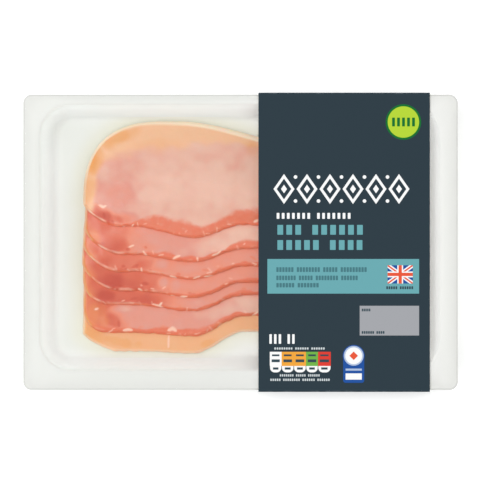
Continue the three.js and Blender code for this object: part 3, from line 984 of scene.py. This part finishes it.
lid_film, tree, shader = material("lid_film")
out = next(n for n in tree.nodes if n.type == "OUTPUT_MATERIAL")
tree.nodes.remove(shader)
clear = node(tree, "BsdfTransparent", (1, 1, 1, 1)).outputs[0]
shine = node(tree, "BsdfGlossy", (1, 1, 1, 1), 0.12).outputs[0]
outer_face = maths(tree, "SUBTRACT", 1.0, node(tree, "NewGeometry").outputs["Backfacing"])
share = maths(tree, "MULTIPLY", node(tree, "Fresnel", 1.36).outputs[0], outer_face)
both = node(tree, "MixShader", share, clear, shine).outputs[0]
tree.links.new(both, out.inputs["Surface"])
film.data.materials.append(lid_film)
print("lid film:", len(film.data.polygons), "faces")

# %% [markdown]
# ## Card sleeve
# The sleeve is a band of half-millimetre board, folded round the pack at four creases and glued
# shut. Four flat plates would give it sharp creases. So its section is one rounded outline, drawn
# twice, outside and inside the board, and four rings of it close the tube.

# %% Sleeve shape
BOARD = 0.5
FOLD_RADIUS = 1.2
FOLD_STEPS = 8
TOP_WIDTH = 172.5
BASE_WIDTH = 165
PRINT_ROOM = 0.13  # the board's face stops this far under the box, to leave room for the print

card_top = sleeve_high[2] - PRINT_ROOM


def folded(depth):
    """The section's outline at this depth in the board: four corners, each rounded by a quadratic
    curve. It runs round from the base's left end, seen with the far side at the right."""
    slant = (TOP_WIDTH - BASE_WIDTH) / 2 / sleeve_high[2]
    across = depth * (np.hypot(1, slant) - slant)
    top_half, base_half = TOP_WIDTH / 2 - across - 2 * slant * depth, BASE_WIDTH / 2 - across
    corners = np.array([[-base_half, depth], [base_half, depth], [top_half, card_top - depth],
                        [-top_half, card_top - depth]])
    curves = []
    for before, corner, after in zip(np.roll(corners, 1, 0), corners, np.roll(corners, -1, 0)):
        ends = [corner + (other - corner) / np.linalg.norm(other - corner) * (FOLD_RADIUS - depth)
                for other in (before, after)]
        t = np.linspace(0, 1, FOLD_STEPS)[:, None]
        curves.append((1 - t) ** 2 * ends[0] + 2 * t * (1 - t) * corner + t ** 2 * ends[1])
    return np.concatenate(curves)


def section_at(outline, x):
    """The outline set up across the pack at this x."""
    return np.column_stack([np.full(len(outline), x), outline])


outer = folded(0)[::-1]
inner = folded(BOARD)[::-1]
sleeve_rings = np.array([section_at(outer, sleeve_high[0]), section_at(outer, sleeve_low[0]),
                         section_at(inner, sleeve_low[0]), section_at(inner, sleeve_high[0])])
around = len(outer)
faces = ring_faces(5, around) % (4 * around)
sleeve = mesh_piece("sleeve_board", sleeve_rings.reshape(-1, 3), faces.tolist(), rounded=False)
side = np.repeat([0, 1, 2, 1], around)
sleeve.data.polygons.foreach_set("material_index", side)
along_fold = np.tile(np.concatenate([1 - abs(2 * np.linspace(0, 1, FOLD_STEPS) - 1)] * 4), 4)
give_values(sleeve, "crease", along_fold)
print("sleeve:", around, "points round the board")

# %% [markdown]
# The outside is printed navy under a thin varnish, the cut edges show pale board, and the inside is
# unprinted, so each kind of face has a material of its own. The creases have lost a little ink. The
# mesh's points say how near a crease they lie, and soft noise breaks that wear up.

# %% Sleeve finish
NAVY = colour(44, 59, 68)

printed, tree, shader = material("printed_card", Roughness=0.5, Specular_IOR_Level=0.08)
place = node(tree, "TexCoord").outputs["Object"]
worn = maths(tree, "MULTIPLY", stored(tree, "crease"),
             rise(tree, noise(tree, place, 300, 3), 0.45, 0.75, 0, 0.3))
tree.links.new(mix(tree, worn, NAVY, colour(150, 160, 165)), shader.inputs["Base Color"])
bump(tree, shader, noise(tree, place, 900, 2), 0.02, 0.3)
board_edge, _, _ = material("board_edge", Base_Color=colour(214, 208, 196), Roughness=0.8)
card_inside, _, _ = material("card_inside", Base_Color=colour(238, 238, 233), Roughness=0.75)
for finish in (printed, board_edge, card_inside):
    sleeve.data.materials.append(finish)
print("sleeve finishes:", [finish.name for finish in sleeve.data.materials])

# %% [markdown]
# ## Print on the front
# Flat inks make up the front: a navy ground, a teal panel with a small flag, a lime disc, a grey box,
# a row of coloured cells for the food values, a blue label with a disc, a frieze of lozenges, and
# rows of plain blocks. An image laid on the card would blur close up. Here each ink is its own very
# thin slab instead, so it reads as a crisp layer on the board, and stays sharp however near the
# camera comes. All places are in the photograph's pixels.

# %% Ink shapes
LAYER = 0.02  # from one layer's top to the next
INK_THICKNESS = 0.014
DISC_POINTS = 72
BLOCK_CORNER = 0.5
GROUP_GAP = 0.9  # between groups of blocks, as a share of a block's room
INK = {
    "white": colour(250, 251, 251), "teal": colour(106, 170, 177), "dark": colour(52, 74, 84),
    "navy": NAVY, "slate": colour(72, 122, 130), "pale": colour(176, 194, 222),
    "lime": colour(182, 214, 56), "green": colour(15, 112, 48), "leaf": colour(112, 178, 72),
    "grey": colour(164, 166, 171), "amber": colour(240, 166, 62), "red": colour(221, 62, 50),
    "blue": colour(32, 82, 160), "flame": colour(232, 88, 58), "soft": colour(205, 213, 216),
}
ink_points, ink_faces, ink_colours = [], [], []


def ink(name, outline, layer=1):
    """Adds a slab of ink over an outline given in pixels, anticlockwise from above. A higher layer
    lies over a lower one."""
    flat = np.array(from_photo(*np.array(outline, dtype=float).T)).T
    following = np.roll(flat, -1, 0)
    if (flat[:, 0] * following[:, 1] - following[:, 0] * flat[:, 1]).sum() < 0:
        flat = flat[::-1]
    count, start = len(flat), sum(map(len, ink_points))
    top = np.column_stack([flat, np.full(count, card_top + layer * LAYER)])
    ink_points.append(np.concatenate([top, top - (0, 0, INK_THICKNESS)]))
    step = np.arange(count)
    after = (step + 1) % count
    sides = np.stack([step, step + count, after + count, after], -1) + start
    ink_faces.extend([(step + start).tolist(), (step[::-1] + count + start).tolist()] + sides.tolist())
    ink_colours.append(np.tile(INK[name], (2 * count, 1)))


def box(x0, y0, x1, y1, corner=0.0):
    """The outline of a rectangle, with rounded corners where a radius is given."""
    if corner == 0:
        return [(x0, y0), (x0, y1), (x1, y1), (x1, y0)]
    turn = np.linspace(0, np.pi / 2, 7)
    quarters = [(x1 - corner, y1 - corner, 0), (x0 + corner, y1 - corner, 1),
                (x0 + corner, y0 + corner, 2), (x1 - corner, y0 + corner, 3)]
    return [(x + corner * np.cos(t + k * np.pi / 2), y + corner * np.sin(t + k * np.pi / 2))
            for x, y, k in quarters for t in turn]


def disc(x, y, radius):
    """The outline of a disc."""
    turn = np.linspace(0, 2 * np.pi, DISC_POINTS, endpoint=False)
    return np.column_stack([x + radius * np.cos(turn), y + radius * np.sin(turn)])


def blocks(name, x0, x1, y0, y1, groups, gap, layer=1):
    """A row of plain blocks with a gap between them, in groups of so many. A wider gap parts the
    groups."""
    width = (x1 - x0) / (sum(groups) + GROUP_GAP * (len(groups) - 1))
    x = x0
    for count in groups:
        for _ in range(count):
            ink(name, box(x + gap / 2, y0, x + width - gap / 2, y1, BLOCK_CORNER), layer)
            x += width
        x += GROUP_GAP * width


def lozenge(x, y, wide, high):
    """The outline of an upright lozenge."""
    return [(x - wide / 2, y), (x, y + high / 2), (x + wide / 2, y), (x, y - high / 2)]


# %% [markdown]
# The navy ground carries the lime disc, the frieze and the widest rows of blocks. A lozenge of the
# frieze is three inks over each other, each smaller than the one below, and two dots stand between
# each lozenge and the next.

# %% Disc, frieze and rows of blocks
DISC_MIDDLE = (403.4, 122)
FRIEZE_HEIGHT = 189
FRIEZE_FROM, FRIEZE_TO = 284, 399
LOZENGES = 6
LOZENGE_INKS = [("white", 21, 30), ("navy", 14.6, 20.8), ("white", 6, 8.6)]  # width and height
FRIEZE_DOT = 12  # how far the dots lie from the frieze's middle line
DISC_ROW = ("green", 391.0, 416.0, 117.6, 126.4, [5], 2.2)  # ink, left, right, top, bottom, groups, gap
ROWS_ON_NAVY = [  # in the same order
    ("white", 275.5, 351.7, 212.9, 218.8, [7, 7], 2.4),
    ("teal", 275.8, 364.4, 224.9, 234.7, [3, 6], 3.2),
    ("teal", 275.8, 364.0, 240.1, 249.9, [5, 4], 3.2),
    ("white", 268.3, 295.7, 334.2, 343.8, [3, 2], 2.2),
]

ink("green", disc(*DISC_MIDDLE, 17.7))
ink("lime", disc(*DISC_MIDDLE, 15.7), 2)
blocks(*DISC_ROW, 3)

middles = np.linspace(FRIEZE_FROM, FRIEZE_TO, LOZENGES)
for middle in middles:
    for layer, (name, wide, high) in enumerate(LOZENGE_INKS, 1):
        ink(name, lozenge(middle, FRIEZE_HEIGHT, wide, high), layer)
for middle in (middles[1:] + middles[:-1]) / 2:
    for y in (FRIEZE_HEIGHT - FRIEZE_DOT, FRIEZE_HEIGHT + FRIEZE_DOT):
        ink("white", disc(middle, y, 1.8))
for row in ROWS_ON_NAVY:
    blocks(*row)
print("disc, frieze and rows:", len(ink_points), "ink shapes")

# %% [markdown]
# The teal panel and the grey box carry finer rows. The flag is made of bands on a blue ground: white
# ones with narrower red ones on them, first from corner to corner, then upright and level. Each lies
# on a layer of its own, because two inks at one height would flicker.

# %% Panel, flag and box
PANEL = (267.4, 259, 419.1, 293.6)
FLAG = (387.6, 265.3, 412.8, 283.5)
GREY_BOX = (359.7, 305.8, 419.1, 335.5)
ROWS_ON_PANEL = [
    ("slate", 276, 367, 267.2, 272.0, [6, 8, 5, 9], 0.7),
    ("slate", 276, 358, 275.6, 280.2, [7, 5, 8, 6], 0.7),
    ("slate", 276, 319, 283.0, 287.4, [6, 7], 0.7),
]
FLAG_ROW = ("dark", 386, 413.4, 286.3, 289.2, [5, 6], 0.6)
ROWS_ON_BOX = [
    ("dark", 361.5, 370.6, 308.6, 311.4, [5], 0.5),
    ("dark", 361.5, 384.7, 331.1, 333.8, [6, 4], 0.5),
]


def diagonal(thick, falling):
    """A band across the flag from corner to corner, cut off at its edges."""
    x0, y0, x1, y1 = FLAG
    length = np.hypot(x1 - x0, y1 - y0)
    across, upward = thick / 2 * length / (y1 - y0), thick / 2 * length / (x1 - x0)
    if falling:
        y0, y1, upward = y1, y0, -upward
    return [(x0, y0), (x0 + across, y0), (x1, y1 - upward), (x1, y1), (x1 - across, y1), (x0, y0 + upward)]


def upright(wide):
    """A band down the flag's middle."""
    middle = (FLAG[0] + FLAG[2]) / 2
    return box(middle - wide / 2, FLAG[1], middle + wide / 2, FLAG[3])


def level_band(wide):
    """A band across the flag's middle."""
    middle = (FLAG[1] + FLAG[3]) / 2
    return box(FLAG[0], middle - wide / 2, FLAG[2], middle + wide / 2)


ink("teal", box(*PANEL))
for row in ROWS_ON_PANEL:
    blocks(*row, 2)
ink("blue", box(*FLAG), 2)
for thick, name, layer in ((4.0, "white", 3), (1.5, "flame", 3.4)):
    for falling in (False, True):
        ink(name, diagonal(thick, falling), layer + 0.15 * falling)
for name, wide, layer in (("white", 5.8, 3.8), ("flame", 3.3, 4)):
    ink(name, upright(wide), layer - 0.1)
    ink(name, level_band(wide), layer)
blocks(*FLAG_ROW, 2)
ink("grey", box(*GREY_BOX))
for row in ROWS_ON_BOX:
    blocks(*row, 2)
print("with panel, flag and box:", len(ink_points), "ink shapes")

# %% [markdown]
# The food values stand in five cells. Each is a white shape with rounded corners, an ink over its
# upper part and three dark bars. The blue label is beside them. In the end all the shapes become one
# mesh, whose points hold the colour of their ink, so that one material serves for all of them.

# %% Food values and label
CELL_EDGES = [269.8, 281.6, 293.8, 306, 318, 330.8]
CELL_INKS = ["white", "amber", "amber", "leaf", "red"]
CELL_TOP, CELL_CHANGE, CELL_FOOT = 351.8, 366, 372.4
CELL_BARS = [(2.2, 354.4, 356.2), (1.8, 359.4, 362.2), (3.2, 367.4, 369.6)]  # inset, top and bottom
ROW_OVER_CELLS = ("soft", 274, 325, 347.4, 349.6, [8, 6, 6], 0.7)
ROWS_UNDER_CELLS = [
    ("soft", 279.5, 320, 374.2, 376.6, [7, 5, 6], 0.7),
    ("soft", 270, 330, 378.6, 381.0, [5, 8, 6, 6], 0.7),
]
LABEL = (343.2, 354, 364.2, 382.8)
LABEL_DISC = (353.7, 355.8)
LABEL_BARS = [("pale", 345.6, 368.6, 361.8, 370.6), ("white", 345.6, 373.4, 361.8, 379.6)]

blocks(*ROW_OVER_CELLS)
for left, right, name in zip(CELL_EDGES[:-1], CELL_EDGES[1:], CELL_INKS):
    ink("white", box(left + 0.3, CELL_TOP, right - 0.3, CELL_FOOT, 4.6))
    ink(name, box(left, CELL_TOP, right, CELL_CHANGE), 2)
    for inset, top, bottom in CELL_BARS:
        ink("dark", box(left + inset, top, right - inset, bottom), 3)
for row in ROWS_UNDER_CELLS:
    blocks(*row)

ink("blue", box(*LABEL, 2.4))
for name, radius, layer in (("blue", 10.9, 1.3), ("pale", 9.9, 2), ("white", 8.4, 3)):
    ink(name, disc(*LABEL_DISC, radius), layer)
ink("flame", lozenge(*LABEL_DISC, 8.6, 8.6), 4)
for name, *bar in LABEL_BARS:
    ink(name, box(*bar), 2)

sleeve_print = mesh_piece("sleeve_print", np.concatenate(ink_points), ink_faces, rounded=False)
tints = np.concatenate(ink_colours).astype(np.float32)
sleeve_print.data.attributes.new("ink", "FLOAT_COLOR", "POINT").data.foreach_set("color", tints.ravel())
printed_ink, tree, shader = material("printed_ink", Roughness=0.5, Specular_IOR_Level=0.08)
tree.links.new(node(tree, "Attribute", attribute_name="ink").outputs["Color"], shader.inputs["Base Color"])
sleeve_print.data.materials.append(printed_ink)
print("print:", len(ink_points), "ink shapes,", len(sleeve_print.data.polygons), "faces")

# %% [markdown]
# ## Handing the pieces to the frame
# Every piece stands for the node of the solid model that it refines and hides that node, and the
# list names one of the model's slots beside each piece. Nothing on a shut pack moves, so all of them
# ride on the one body.

# %% Pieces, bodies and slots
PIECES = [(tray, "tray", "tray_plastic"), (film, "film", "lid_film"), (sleeve, "sleeve", "sleeve_card"),
          (sleeve_print, "sleeve", "sleeve_card")]
PIECES += [(piece, f"rasher_{number}", "bacon_fat" if number == len(rashers) else "bacon_lean")
           for number, piece in enumerate(rashers, 1)]
for piece, stands_for, finish in PIECES:
    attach(piece, "root")
    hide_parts(stands_for)
print("pieces:", [piece.name for piece, *_ in PIECES])
